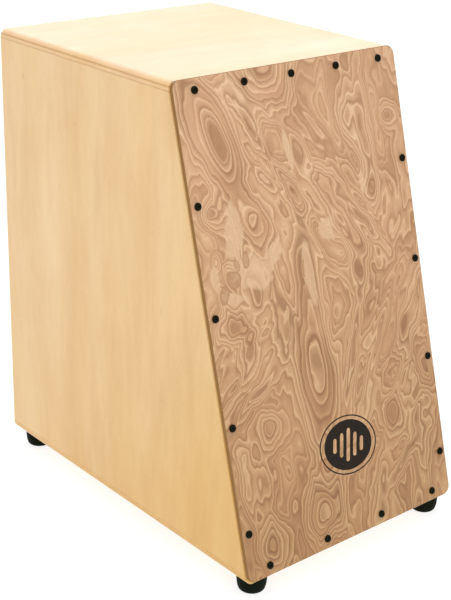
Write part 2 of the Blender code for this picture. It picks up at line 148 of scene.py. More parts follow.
class Paint:
    """A material's Principled shader, and short ways to add the nodes before it."""

    def __init__(self, name):
        self.material = bpy.data.materials.new(name)
        self.material.use_nodes = True
        self.tree = self.material.node_tree
        self.shader = self.tree.nodes["Principled BSDF"]

    def add(self, kind, inputs, output=0, **settings):
        """A node with its inputs set or joined by name or place. Returns one of its outputs."""
        node = self.tree.nodes.new(kind)
        for key, value in settings.items():
            setattr(node, key, value)
        for key, value in inputs.items():
            self.join(node.inputs[key], value)
        return node.outputs[output]

    def join(self, socket, value):
        """Link the socket to an output, or set its value. A colour may be given as three numbers."""
        if isinstance(value, bpy.types.NodeSocket):
            self.tree.links.new(value, socket)
        elif socket.type == "RGBA" and len(value) == 3:
            socket.default_value = (*value, 1.0)
        else:
            socket.default_value = value

    def place(self):
        return self.add("ShaderNodeTexCoord", {}, "Object")

    def math(self, operation, first, second=0.0, third=0.0):
        return self.add("ShaderNodeMath", {0: first, 1: second, 2: third}, operation=operation)

    def stretch(self, vector, scale, location=(0, 0, 0)):
        """The vector, scaled and then moved."""
        return self.add("ShaderNodeMapping", {"Vector": vector, "Location": location, "Scale": scale})

    def local(self, vector, location, lean, scale):
        """The vector seen from the location, leaning about Z by degrees, in units of the scale."""
        turn = (0, 0, math.radians(lean))
        inputs = {"Vector": vector, "Location": location, "Rotation": turn, "Scale": scale}
        return self.add("ShaderNodeMapping", inputs, vector_type="TEXTURE")

    def vector_math(self, operation, first, second=(0, 0, 0), output="Vector"):
        return self.add("ShaderNodeVectorMath", {0: first, 1: second}, output, operation=operation)

    def noise(self, vector, scale, detail=2.0, roughness=0.5, output="Fac"):
        inputs = {"Vector": vector, "Scale": scale, "Detail": detail, "Roughness": roughness}
        return self.add("ShaderNodeTexNoise", inputs, output)

    def axis(self, vector, name):
        return self.add("ShaderNodeSeparateXYZ", {0: vector}, name)

    def ramp(self, value, stops):
        """Colours or greys along a value: stops are (place, colour or grey)."""
        node = self.tree.nodes.new("ShaderNodeValToRGB")
        self.join(node.inputs[0], value)
        elements = node.color_ramp.elements
        while len(elements) < len(stops):
            elements.new(1.0)
        for element, (place, tone) in zip(elements, stops):
            colour = tone if isinstance(tone, tuple) else (tone, tone, tone)
            element.position = place
            element.color = (*colour, 1.0)
        return node.outputs[0]

    def mix(self, share, first, second, blend="MIX"):
        """Colours mixed by a share from 0 to 1."""
        node = self.tree.nodes.new("ShaderNodeMix")
        node.data_type = "RGBA"
        node.blend_type = blend
        self.join(node.inputs[0], share)
        self.join(node.inputs[6], first)
        self.join(node.inputs[7], second)
        return node.outputs[2]

    def bump(self, height, distance, strength=1.0, before=None):
        inputs = {"Height": height, "Distance": distance, "Strength": strength}
        if before is not None:
            inputs["Normal"] = before
        return self.add("ShaderNodeBump", inputs)

    def finish(self, colour, roughness, normal=None, metallic=0.0, specular=0.5):
        self.join(self.shader.inputs["Base Color"], colour)
        self.join(self.shader.inputs["Roughness"], roughness)
        self.shader.inputs["Metallic"].default_value = metallic
        self.shader.inputs["Specular IOR Level"].default_value = specular
        if normal is not None:
            self.join(self.shader.inputs["Normal"], normal)
        return self.material


GRAIN = (5.5, 38.0)              # streaks of plain wood to a metre, along and across the grain
# Plain wood: dark grain line, middle and pale tones
PALE_WOOD = ((0.825, 0.562, 0.290), (0.880, 0.628, 0.342), (0.915, 0.690, 0.410))
# The top board's tones are paler and greyer than the sides': its own wood tone with a painted sheen
SEAT_WOOD_WITH_SHEEN = ((0.830, 0.585, 0.362), (0.870, 0.626, 0.398), (0.895, 0.660, 0.432))
BAR_WOOD = ((0.42, 0.26, 0.13), (0.60, 0.41, 0.23), (0.70, 0.52, 0.33))
WARM_WOOD = (0.785, 0.485, 0.168)
WOOD_PORE = (0.45, 0.26, 0.11)
LACQUERED_PORE = 0.00005         # depth
BARE_PORE = 0.00008
CROSS_PLY = (0.52, 0.280, 0.095)
# Dark cross plies: where each starts and ends through the board, and how dark it shows
CROSS_PLIES = ((0.21, 0.30, 0.8), (0.46, 0.54, 0.5), (0.70, 0.79, 0.8))
BASE_PLIES = ((0.34, 0.42, 0.8), (0.62, 0.71, 0.8))
PLY_SOFTNESS = 0.012
# Tints that the wood is multiplied by: in its blotches, on the edges of the plies, and at its front lower
# corner, where the warm tint is partly painted shade
BLOTCH = (0.958, 0.910, 0.875)
PLY_EDGE = (1.0, 0.955, 0.840)
WARMTH_AND_SHADE = (0.920, 0.825, 0.570)
# Faint marks on the left side: from the back edge, down from the top, half width, half height, strength
MARKS = ((0.043, 0.043, 0.0030, 0.0050, 0.38), (0.139, 0.074, 0.0050, 0.0030, 0.16),
         (0.285, 0.233, 0.0030, 0.0080, 0.16), (0.288, 0.331, 0.0060, 0.0030, 0.16),
         (0.270, 0.154, 0.0040, 0.0025, 0.12))


def along_grain(paint, place, grain, along, across, location=(0, 0, 0)):
    """The place scaled by one number along the grain's axis and another across it."""
    return paint.stretch(place, [along if axis == grain else across for axis in "XYZ"], location)


def grain_noise(paint, place, grain, finer, detail=2.0, roughness=0.5):
    """Noise drawn out along the grain, so many times finer than the streaks."""
    stretched = along_grain(paint, place, grain, GRAIN[0] * finer, GRAIN[1] * finer)
    return paint.noise(stretched, 1.0, detail, roughness)


def plain_wood(paint, place, grain, tones):
    """Straight-grained wood with soft streaks, fine fibres and short pores: its colour and pore mask."""
    dark, middle, pale = tones
    streaks = grain_noise(paint, place, grain, 1)
    colour = paint.ramp(streaks, [(0.28, dark), (0.48, middle), (0.74, pale)])
    tone = grain_noise(paint, place, grain, 0.5)
    colour = paint.mix(paint.ramp(tone, [(0.46, 0.0), (0.62, 0.35)]), colour, WARM_WOOD)
    blotch = paint.noise(along_grain(paint, place, grain, 7.0, 19.0, (3.1, 1.7, 5.2)), 1.0, 4.0, 0.72)
    colour = paint.mix(paint.ramp(blotch, [(0.37, 0.0), (0.63, 1.0)]), colour, BLOTCH, "MULTIPLY")
    fibre = grain_noise(paint, place, grain, 16, 2.0, 0.6)
    colour = paint.mix(paint.ramp(fibre, [(0.30, 0.16), (0.55, 0.0)]), colour, dark)
    pores = grain_noise(paint, place, grain, 44, 0.0)
    pores = paint.ramp(pores, [(0.70, 0.0), (0.76, 1.0)])
    colour = paint.mix(paint.math("MULTIPLY", pores, 0.16), colour, WOOD_PORE)
    return colour, pores


def corner_warmth_and_shade(paint, place, front_warmth):
    """Share of the warm tint, which is partly painted shade: it grows towards the front, and towards the
    front lower corner.
    """
    forward = paint.math("SUBTRACT", BACK_Y, paint.axis(place, "Y"))
    forward = paint.math("MULTIPLY", forward, 1.0 / (BACK_Y - bottom_low.y))
    lower = paint.math("SUBTRACT", TOP_Z, paint.axis(place, "Z"))
    lower = paint.math("MULTIPLY", lower, 1.0 / (TOP_Z - BASE_Z))
    lower = paint.math("MULTIPLY", lower, lower)
    warmed_and_shaded = paint.math("MULTIPLY", lower, paint.math("ADD", forward, 0.25))
    warmed_and_shaded = paint.math("MULTIPLY_ADD", paint.math("MULTIPLY", forward, forward), front_warmth, warmed_and_shaded)
    return paint.math("MINIMUM", warmed_and_shaded, 1.0)


def ply_lines(paint, place, grain, depth, plies):
    """Mask of the dark cross plies, speckled like cut end grain."""
    stops = [(0.0, 0.0)]
    for start, end, share in plies:
        stops += [(start - PLY_SOFTNESS, 0.0), (start + PLY_SOFTNESS, share)]
        stops += [(end - PLY_SOFTNESS, share), (end + PLY_SOFTNESS, 0.0)]
    speckle = paint.noise(along_grain(paint, place, grain, 60.0, 900.0), 1.0, 2.0, 0.6)
    speckle = paint.ramp(speckle, [(0.3, 0.55), (0.7, 1.0)])
    return paint.math("MULTIPLY", paint.ramp(depth, stops), speckle)


def marked(paint, place, colour, outer, marks):
    """The colour with soft dark marks at places on the left side's outer face."""
    for back, down, half_width, half_height, share in marks:
        offset = paint.vector_math("SUBTRACT", place, (outer, BACK_Y - back, TOP_Z - down))
        offset = paint.stretch(offset, (1 / half_width, 1 / half_width, 1 / half_height))
        reach = paint.vector_math("LENGTH", offset, output="Value")
        colour = paint.mix(paint.ramp(reach, [(0.15, share), (1.0, 0.0)]), colour, CROSS_PLY)
    return colour


def plywood(name, axis, outer, inwards, grain, thickness=BOARD, marks=(), tones=PALE_WOOD,
            plies=CROSS_PLIES, front_warmth=0.45):
    """Lacquered plywood. Depth is measured inwards from the outer face, so every cut edge shows plies."""
    paint = Paint(name)
    place = paint.place()
    colour, pores = plain_wood(paint, place, grain, tones)
    # Warmer and darker towards the front lower corner: partly the wood's own tone, partly painted shade
    colour = paint.mix(corner_warmth_and_shade(paint, place, front_warmth), colour, WARMTH_AND_SHADE, "MULTIPLY")
    depth = paint.math("SUBTRACT", paint.axis(place, axis), outer)
    depth = paint.math("MULTIPLY", depth, inwards / thickness)
    colour = paint.mix(paint.ramp(depth, [(0.03, 0.0), (0.15, 1.0)]), colour, PLY_EDGE, "MULTIPLY")
    colour = paint.mix(ply_lines(paint, place, grain, depth, plies), colour, CROSS_PLY)
    colour = marked(paint, place, colour, outer, marks)
    smudge = paint.noise(place, 9.0, 3.0, 0.6)
    roughness = paint.ramp(smudge, [(0.3, 0.36), (0.7, 0.46)])
    fine = grain_noise(paint, place, grain, 12, 3.0, 0.6)
    normal = paint.bump(fine, 0.00006, 0.6)
    normal = paint.bump(pores, -LACQUERED_PORE, 0.5, normal)
    return paint.finish(colour, roughness, normal, specular=0.45)


# Ovals are given by their middle, across and down from the middle of the tapa's top edge, half width, half
# height, and lean to the left in degrees.
# Eyes of the figure: an oval, and the growth rings crossed from rim to middle, negative where they dip
EYES = [
    (-0.106, 0.062, 0.030, 0.084, 17, 6.5), (-0.037, -0.008, 0.050, 0.060, 0, 7.0),
    (-0.038, 0.074, 0.017, 0.030, -8, -2.0), (-0.004, 0.088, 0.016, 0.034, 0, 2.5),
    (-0.018, 0.128, 0.015, 0.044, 24, 3.5), (-0.072, 0.146, 0.032, 0.038, 0, 4.5),
    (-0.020, 0.218, 0.026, 0.088, 2, 3.6), (-0.023, 0.316, 0.040, 0.080, 1, 5.2),
    (-0.126, 0.127, 0.018, 0.020, 0, 3.0), (-0.112, 0.190, 0.012, 0.014, 0, 2.4),
    (-0.092, 0.178, 0.009, 0.013, 0, 2.0), (-0.128, 0.176, 0.009, 0.013, 0, 2.0),
    (-0.126, 0.212, 0.010, 0.014, 0, 2.0), (-0.116, 0.243, 0.026, 0.020, -30, 4.0),
    (-0.084, 0.216, 0.015, 0.028, -8, 3.0), (-0.104, 0.274, 0.015, 0.036, -24, 3.0),
    (-0.062, 0.250, 0.010, 0.040, -5, 2.5), (-0.095, 0.356, 0.024, 0.026, 0, 3.0),
    (-0.037, 0.458, 0.032, 0.042, 0, 5.5), (0.055, 0.220, 0.020, 0.034, 0, 3.5),
    (0.090, 0.142, 0.019, 0.030, 0, 3.5), (0.128, 0.072, 0.015, 0.018, 0, 3.0),
    (0.078, 0.386, 0.030, 0.036, 10, 4.0), (0.136, 0.345, 0.014, 0.040, 14, -3.0),
    (0.112, 0.296, 0.014, 0.038, -28, 3.0), (-0.110, 0.468, 0.026, 0.028, 20, 3.5),
    (-0.052, 0.072, 0.009, 0.080, 32, 3.0), (0.070, 0.172, 0.009, 0.060, 40, 3.0),
    (0.034, 0.300, 0.009, 0.070, -20, 3.0), (0.072, 0.300, 0.010, 0.070, -28, 3.0),
    (0.092, 0.436, 0.010, 0.062, -58, 3.0), (-0.100, 0.315, 0.010, 0.052, -52, 2.5),
]
# Cream patches, where the figure all but fades
CREAM = [
    (-0.1020, 0.150, 0.014, 0.034, -14), (-0.0880, 0.192, 0.030, 0.019, -24),
    (-0.1340, 0.192, 0.009, 0.016, 0), (-0.0570, 0.181, 0.009, 0.020, -35),
    (-0.1130, 0.214, 0.018, 0.008, -20), (-0.0155, 0.214, 0.0085, 0.040, 2),
    (0.0185, 0.171, 0.013, 0.017, 25), (0.0760, 0.132, 0.006, 0.015, 0), (-0.0175, 0.086, 0.006, 0.023, 10),
]
# Brown islands in the cream
ISLANDS = [(-0.0923, 0.1788, 0.0056, 0.0092, 0), (-0.1096, 0.1942, 0.0088, 0.0098, -15),
           (-0.1235, 0.2096, 0.0066, 0.0100, -25), (-0.1045, 0.1806, 0.0030, 0.0060, 10)]
# Parts of the face where the grain leans
FLOWS = [(0.085, 0.315, 0.085, 0.170, -32), (0.005, 0.130, 0.080, 0.150, 36),
         (-0.125, 0.300, 0.055, 0.100, -48)]
FLOW_GRAIN = (1 / 34, 1 / 8, 1)
LARGE_EYE = (0.020, 0.070)       # an eye with a larger half width and half height keeps a smooth outline
VENEER_DARK = (0.375, 0.190, 0.086)
VENEER_MIDDLE = (0.605, 0.362, 0.192)
VENEER_PALE = (0.810, 0.555, 0.335)
VENEER_CREAM = (0.790, 0.550, 0.342)
VENEER_HEART = (0.480, 0.270, 0.135)
VENEER_ROSE = (0.680, 0.375, 0.215)
VENEER_PORE = (0.260, 0.120, 0.050)
# Painted shade that the veneer is multiplied by, from its top edge down to its bottom edge: it darkens and
# warms towards the bottom
VENEER_SHADE_TINTS = [(0.0, (0.990, 0.955, 0.960)), (0.35, (0.965, 0.912, 0.870)), (1.0, (0.740, 0.645, 0.490))]
# Tone across one growth ring, from its pale front to the dark line behind it
RING_TONES = [(0.0, 0.70), (0.09, 0.98), (0.24, 0.62), (0.45, 0.52), (0.64, 0.40), (0.80, 0.14), (0.92, 0.30),
              (1.0, 0.70)]
MIDDLE_TONE = 0.48
TAPA_EDGE = (0.280, 0.135, 0.030)


def oval_reach(paint, place, across, down, half_width, half_height, lean):
    """Distance from an oval's middle: 0 there and 1 on its rim."""
    local = paint.local(place, (across, -down, 0), lean, (half_width, half_height, 1))
    return paint.vector_math("LENGTH", local, output="Value")


def wander(paint, place, scale, location, reach):
    """The place, pushed about by noise by up to the reach."""
    push = paint.noise(paint.stretch(place, scale, location), 1.0, 1.0, output="Color")
    push = paint.vector_math("SUBTRACT", push, (0.5, 0.5, 0.5))
    push = paint.vector_math("MULTIPLY", push, reach)
    return paint.vector_math("ADD", place, push)


def eye_hills(paint, swept, bent):
    """Rings added by the eyes, and nearness to an eye. Large eyes follow the gently swept place."""
    hills = 0.0
    calm = 0.0
    for *oval, rings in EYES:
        large = oval[2] > LARGE_EYE[0] and oval[3] > LARGE_EYE[1]
        reach = oval_reach(paint, swept if large else bent, *oval)
        inside = paint.add("ShaderNodeMath", {0: 1.22, 1: reach}, operation="SUBTRACT", use_clamp=True)
        swell = paint.math("POWER", inside, 1.15)
        hills = paint.math("MULTIPLY_ADD", swell, 1.15 * rings, hills)
        calm = paint.math("MAXIMUM", calm, paint.math("MULTIPLY", inside, 1.4) if large else inside)
    return hills, paint.math("MINIMUM", calm, 1.0)


def rolling_ground(paint, bent):
    """Height of the cut away from the eyes: long swells up the face, which lean in some parts of it."""
    ground = paint.noise(paint.stretch(bent, (21.0, 6.5, 1.0), (0.4, 2.0, 0)), 1.0)
    lumps = paint.noise(paint.stretch(bent, (58.0, 26.0, 1.0), (1.7, 4.0, 0)), 1.0, 1.0)
    ground = paint.math("MULTIPLY_ADD", paint.math("SUBTRACT", lumps, 0.5), 0.16, ground)
    for number, flow in enumerate(FLOWS):
        leaning = paint.noise(paint.local(bent, (number, 0, 0), flow[-1], FLOW_GRAIN), 1.0)
        share = paint.ramp(oval_reach(paint, bent, *flow), [(0.55, 1.0), (1.0, 0.0)])
        step = paint.math("SUBTRACT", leaning, ground)
        ground = paint.math("MULTIPLY_ADD", step, share, ground)
    return paint.math("SUBTRACT", ground, 0.5)


def growth_height(paint, place):
    """Height of the cut through the growth rings, in rings, nearness to an eye, and the bent place."""
    swept = wander(paint, place, (11.0, 7.0, 1.0), (0, 0, 0), (0.014, 0.020, 0))
    bent = wander(paint, swept, (46.0, 24.0, 1.0), (3.0, 1.0, 0), (0.010, 0.015, 0))
    bent = wander(paint, bent, (150.0, 90.0, 1.0), (0, 5.0, 0), (0.0024, 0.0030, 0))
    swept = wander(paint, swept, (70.0, 40.0, 1.0), (0, 5.0, 0), (0.0040, 0.0060, 0))
    hills, calm = eye_hills(paint, swept, bent)
    lively = paint.math("MULTIPLY_ADD", calm, -17.5, 19.5)
    return paint.math("MULTIPLY_ADD", rolling_ground(paint, bent), lively, hills), calm, bent


def ring_tone(paint, place, height, calm, down, chance, fibre):
    """Tone from dark to pale: each ring is shaded across, over broad bands, blotches and fine fibres."""
    tone = paint.ramp(paint.math("FRACT", height), RING_TONES)
    contrast = paint.math("MULTIPLY_ADD", chance, 0.95, 0.38)
    contrast = paint.math("MULTIPLY_ADD", down, 0.30, contrast)
    tone = paint.math("MULTIPLY_ADD", paint.math("SUBTRACT", tone, MIDDLE_TONE), contrast, MIDDLE_TONE)
    tone = paint.math("SUBTRACT", tone, paint.ramp(calm, [(0.76, 0.0), (1.0, 0.24)]))
    band = paint.math("PINGPONG", paint.math("ADD", height, 0.7), 2.0)
    tone = paint.math("ADD", tone, paint.math("MULTIPLY_ADD", band, 0.14, -0.14))
    blotch = paint.noise(paint.stretch(place, (18.0, 10.0, 1.0), (5.0, 0, 0)), 1.0)
    tone = paint.math("ADD", tone, paint.math("MULTIPLY_ADD", blotch, 0.60, -0.30))
    return paint.math("ADD", tone, paint.math("MULTIPLY_ADD", fibre, 0.14, -0.07))


def depth_in(paint, place, patches):
    """How far inside the nearest patch: 1 at its middle, 0 on its rim and outside."""
    depth = 0.0
    for patch in patches:
        inside = paint.math("SUBTRACT", 1.0, oval_reach(paint, place, *patch))
        depth = paint.math("MAXIMUM", depth, inside)
    return depth


def patched(paint, colour, bent, chance):
    """The colour with cream patches, whose rims jump from ring to ring, and brown islands in them."""
    cream = paint.math("MULTIPLY_ADD", chance, 0.30, -0.15)
    cream = paint.math("ADD", depth_in(paint, bent, CREAM), cream)
    colour = paint.mix(paint.ramp(cream, [(0.08, 0.0), (0.24, 0.72)]), colour, VENEER_CREAM)
    island = paint.ramp(depth_in(paint, bent, ISLANDS), [(0.0, 0.0), (0.10, 0.90), (0.45, 0.55)])
    return paint.mix(island, colour, VENEER_HEART)


def edged(paint, place, colour):
    """The colour with a stained edge, and the same dark colour a little over the rim of the front, and a
    plain back.
    """
    # A ramp runs from 0 to 1, so the depth is in millimetres for the edge and in centimetres for the back
    behind = paint.math("SUBTRACT", tapa_high.z, paint.axis(place, "Z"))
    edge = paint.ramp(paint.math("MULTIPLY", behind, 1000.0), [(0.02, 0.0), (0.16, 1.0)])
    colour = paint.mix(edge, colour, TAPA_EDGE)
    back = paint.ramp(paint.math("MULTIPLY", behind, 100.0), [(0.385, 0.0), (0.397, 1.0)])
    return paint.mix(back, colour, PALE_WOOD[1])


def figured_veneer():
    """Burl veneer: growth rings cut through as nested contours, pale on one side and dark on the other."""
    paint = Paint("tapa_veneer")
    place = paint.place()
    height, calm, bent = growth_height(paint, place)
    down = paint.math("MULTIPLY", paint.axis(place, "Y"), 1.0 / tapa_low.y)
    ring = paint.math("FLOOR", height)
    chance = paint.add("ShaderNodeTexWhiteNoise", {"W": ring}, noise_dimensions="1D")
    fibre = paint.noise(paint.stretch(place, (1100.0, 90.0, 1.0)), 1.0, 2.0, 0.6)
    tone = ring_tone(paint, place, height, calm, down, chance, fibre)
    colour = paint.ramp(tone, [(0.0, VENEER_DARK), (MIDDLE_TONE, VENEER_MIDDLE), (1.0, VENEER_PALE)])
    rose = paint.noise(paint.stretch(place, (21.0, 9.0, 1.0), (0, 7.0, 0)), 1.0, 1.0)
    colour = paint.mix(paint.ramp(rose, [(0.42, 0.0), (0.70, 0.22)]), colour, VENEER_ROSE)
    colour = patched(paint, colour, bent, chance)
    # Painted shade: the veneer darkens and warms towards its bottom edge
    colour = paint.mix(1.0, colour, paint.ramp(down, VENEER_SHADE_TINTS), "MULTIPLY")
    pores = paint.noise(paint.stretch(place, (1600.0, 260.0, 1.0)), 1.0, 0.0)
    pores = paint.ramp(pores, [(0.68, 0.0), (0.75, 1.0)])
    colour = paint.mix(paint.math("MULTIPLY", pores, 0.28), colour, VENEER_PORE)
    colour = edged(paint, place, colour)
    roughness = paint.ramp(paint.noise(place, 14.0, 3.0, 0.6), [(0.3, 0.38), (0.7, 0.48)])
    normal = paint.bump(fibre, 0.00004, 0.5)
    normal = paint.bump(pores, -LACQUERED_PORE, 0.5, normal)
    return paint.finish(colour, roughness, normal, specular=0.4)


def bar_wood(name, grain):
    """Bare planed hardwood."""
    paint = Paint(name)
    place = paint.place()
    colour, pores = plain_wood(paint, place, grain, BAR_WOOD)
    normal = paint.bump(pores, -BARE_PORE, 0.7)
    return paint.finish(colour, 0.62, normal, specular=0.3)


# Dark and light tone of each finish
SCREW_BLACK = ((0.003, 0.004, 0.001), (0.011, 0.013, 0.005))
RUBBER_BLACK = ((0.002, 0.005, 0.001), (0.007, 0.011, 0.004))
INK = ((0.014, 0.008, 0.005), (0.025, 0.016, 0.010))
ZINC = (0.66, 0.67, 0.66)
SNARE_STEEL = (0.72, 0.70, 0.66)


def black_screw_finish():
    """Black oxide steel, a little worn and oily."""
    paint = Paint("black_screw_finish")
    place = paint.place()
    worn = paint.noise(place, 420.0, 3.0, 0.6)
    colour = paint.ramp(worn, [(0.35, SCREW_BLACK[0]), (0.75, SCREW_BLACK[1])])
    roughness = paint.ramp(worn, [(0.3, 0.42), (0.7, 0.60)])
    normal = paint.bump(paint.noise(place, 1500.0, 2.0, 0.5), 0.00002, 0.6)
    return paint.finish(colour, roughness, normal, specular=0.07)


def rubber_finish():
    """Moulded black rubber with a faint bloom."""
    paint = Paint("rubber_finish")
    place = paint.place()
    bloom = paint.noise(place, 55.0, 4.0, 0.6)
    colour = paint.ramp(bloom, [(0.35, RUBBER_BLACK[0]), (0.75, RUBBER_BLACK[1])])
    roughness = paint.ramp(bloom, [(0.3, 0.55), (0.7, 0.72)])
    grit = paint.noise(place, 1900.0, 2.0, 0.5)
    normal = paint.bump(grit, 0.00003, 0.6)
    return paint.finish(colour, roughness, normal, specular=0.06)


def bright_steel(name, tint, roughness_low, roughness_high):
    """Plated or drawn steel, clouded and finely brushed."""
    paint = Paint(name)
    place = paint.place()
    cloud = paint.noise(place, 260.0, 3.0, 0.6)
    dull = tuple(0.72 * part for part in tint)
    colour = paint.ramp(cloud, [(0.3, dull), (0.7, tint)])
    roughness = paint.ramp(cloud, [(0.3, roughness_low), (0.7, roughness_high)])
    brushed = paint.noise(paint.stretch(place, (300.0, 4000.0, 300.0)), 1.0, 2.0, 0.6)
    return paint.finish(colour, roughness, paint.bump(brushed, 0.00001, 0.5), metallic=1.0)


def emblem_ink():
    """Dark print on wood, a little uneven."""
    paint = Paint("emblem_ink")
    place = paint.place()
    uneven = paint.noise(paint.stretch(place, (900.0, 120.0, 1.0)), 1.0, 3.0, 0.6)
    colour = paint.ramp(uneven, [(0.30, INK[0]), (0.75, INK[1])])
    return paint.finish(colour, paint.ramp(uneven, [(0.3, 0.48), (0.7, 0.58)]), specular=0.13)


# ---- mesh tools

def new_object(name, mesh, material, place=None):
    piece = bpy.data.objects.new(name, mesh)
    bpy.context.scene.collection.objects.link(piece)
    if place is not None:
        piece.matrix_world = place
    if material is not None:
        mesh.materials.clear()
        mesh.materials.append(material)
    return piece


def mesh_from(name, build):
    """A mesh that the build function fills, with its faces turned outwards."""
    bm = bmesh.new()
    build(bm)
    bmesh.ops.recalc_face_normals(bm, faces=bm.faces)
    mesh = bpy.data.meshes.new(name)
    bm.to_mesh(mesh)
    bm.free()
    return mesh


def smooth(mesh, angle=35):
    """The mesh with smooth shading up to an angle in degrees between its faces."""
    mesh.shade_smooth()
    mesh.set_sharp_from_angle(angle=math.radians(angle))
    return mesh


def ease_edges(piece, width, segments=3):
    """Small rounds on the piece's sharp edges, with its flats kept flat."""
    piece.data.shade_smooth()
    bevel = piece.modifiers.new("eased_edges", "BEVEL")
    bevel.width = width
    bevel.segments = segments
    bevel.limit_method = "ANGLE"
    bevel.angle_limit = math.radians(38)
    normals = piece.modifiers.new("flat_faces", "WEIGHTED_NORMAL")
    normals.weight = 100
    normals.keep_sharp = True


def round_edges(mesh, chosen, width, segments):
    """Round the mesh's edges that the chosen test picks."""
    bm = bmesh.new()
    bm.from_mesh(mesh)
    edges = [edge for edge in bm.edges if chosen(edge)]
    bmesh.ops.bevel(bm, geom=edges, offset=width, segments=segments, profile=0.5, affect="EDGES")
    bm.to_mesh(mesh)
    bm.free()


def carve(mesh, cutter_mesh):
    """The mesh with the cutter's shape taken out."""
    target = new_object("carve_target", mesh, None)
    cutter = new_object("carve_cutter", cutter_mesh, None)
    modifier = target.modifiers.new("carve", "BOOLEAN")
    modifier.operation = "DIFFERENCE"
    modifier.object = cutter
    bpy.context.view_layer.update()
    evaluated = target.evaluated_get(bpy.context.evaluated_depsgraph_get())
    carved = bpy.data.meshes.new_from_object(evaluated)
    for helper in (target, cutter):
        bpy.data.objects.remove(helper, do_unlink=True)
    return carved


def bridge(bm, first, second):
    """Close the solid between two outlines of equal length."""
    bm.faces.new(first)
    bm.faces.new(reversed(second))
    for index, corner in enumerate(first):
        following = (index + 1) % len(first)
        bm.faces.new((first[following], corner, second[index], second[following]))


def box_mesh(name, low, high):
    def build(bm):
        middle = (Vector(low) + Vector(high)) / 2
        size = Vector(high) - Vector(low)
        place = Matrix.Translation(middle) @ Matrix.Diagonal((*size, 1.0))
        bmesh.ops.create_cube(bm, size=1.0, matrix=place)
    return mesh_from(name, build)


def prism_mesh(name, outline, low, high):
    """An XY outline extruded from low to high along Z."""
    def build(bm):
        upper = [bm.verts.new((x, y, high)) for x, y in outline]
        lower = [bm.verts.new((x, y, low)) for x, y in outline]
        bridge(bm, upper, lower)
    return mesh_from(name, build)


def arc(centre, radius, start, turn, steps=ARC_STEPS):
    """Points along a circular arc, angles in degrees."""
    points = []
    for step in range(steps + 1):
        angle = math.radians(start + turn * step / steps)
        points.append((centre[0] + radius * math.cos(angle), centre[1] + radius * math.sin(angle)))
    return points


def turned_mesh(name, profile, sides=TURN_SIDES):
    """A solid of revolution about Z from (radius, height) points. Off the axis, the profile is closed."""
    def build(bm):
        rings = []
        for radius, height in profile:
            if radius == 0:
                rings.append([bm.verts.new((0, 0, height))] * sides)
                continue
            ring = []
            for side in range(sides):
                angle = 2 * math.pi * side / sides
                ring.append(bm.verts.new((radius * math.cos(angle), radius * math.sin(angle), height)))
            rings.append(ring)
        pairs = list(zip(rings, rings[1:]))
        if profile[0][0] > 0:
            pairs.append((rings[-1], rings[0]))
        for upper, lower in pairs:
            for side in range(sides):
                following = (side + 1) % sides
                corners = [upper[side], upper[following], lower[following], lower[side]]
                bm.faces.new(dict.fromkeys(corners))
    return smooth(mesh_from(name, build))


def stand_for(piece, node):
    """The piece rides on the box and is shown in place of the CAD node."""
    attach(piece, "root")
    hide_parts(node)


def finished(node, mesh, material, place=None):
    """The one piece that stands for a CAD node."""
    piece = new_object(f"{node}_finished", mesh, material, place)
    stand_for(piece, node)
    return piece


# ---- box

def board_mesh(name, outline):
    """A board with the XZ outline, from the slanted front plane to the back of the box."""
    def build(bm):
        front = [bm.verts.new((x, front_y(z), z)) for x, z in outline]
        back = [bm.verts.new((x, BACK_Y, z)) for x, z in outline]
        bridge(bm, front, back)
    return mesh_from(name, build)


def lapped_outline(lap):
    """The top board: rounded upper edges, and a tongue below that fits between the side panels."""
    lap_z = TOP_Z - lap
    inner = INNER_HALF - GAP
    centre_x = HALF_WIDTH - EDGE_ROUND
    centre_z = TOP_Z - EDGE_ROUND
    outline = [(inner, TOP_Z - BOARD), (inner, lap_z), (HALF_WIDTH, lap_z)]
    outline += arc((centre_x, centre_z), EDGE_ROUND, 0, 90)
    outline += arc((-centre_x, centre_z), EDGE_ROUND, 90, 90)
    outline += [(-HALF_WIDTH, lap_z), (-inner, lap_z), (-inner, TOP_Z - BOARD)]
    return outline


def side_outline(side):
    low = BASE_Z + BOTTOM_LAP + GLUE_LINE
    high = TOP_Z - LAP - GLUE_LINE
    outer, inner = side * HALF_WIDTH, side * INNER_HALF
    return [(outer, low), (inner, low), (inner, high), (outer, high)]


def make_box():
    """The four boards, each stepped at the back for the panel."""
    upper = lapped_outline(LAP)
    lower = [(x, BASE_Z + TOP_Z - z) for x, z in reversed(lapped_outline(BOTTOM_LAP))]
    boards = {
        "top_board": (upper, plywood("top_plywood", "Z", TOP_Z, -1, "X", tones=SEAT_WOOD_WITH_SHEEN, front_warmth=0.0)),
        "bottom_board": (lower, plywood("bottom_plywood", "Z", BASE_Z, 1, "X", plies=BASE_PLIES)),
        "left_side_panel": (side_outline(-1), plywood("left_plywood", "X", -HALF_WIDTH, 1, "Z", marks=MARKS)),
        "right_side_panel": (side_outline(1), plywood("right_plywood", "X", HALF_WIDTH, -1, "Z")),
    }
    low = (-HALF_WIDTH + LAP, BACK_Y - LAP, BASE_Z + LAP)
    high = (HALF_WIDTH - LAP, BACK_Y + LAP, TOP_Z - LAP)
    for name, (outline, material) in boards.items():
        mesh = carve(board_mesh(name, outline), box_mesh("rabbet", low, high))
        ease_edges(finished(name, mesh, material), BOARD_EASE)


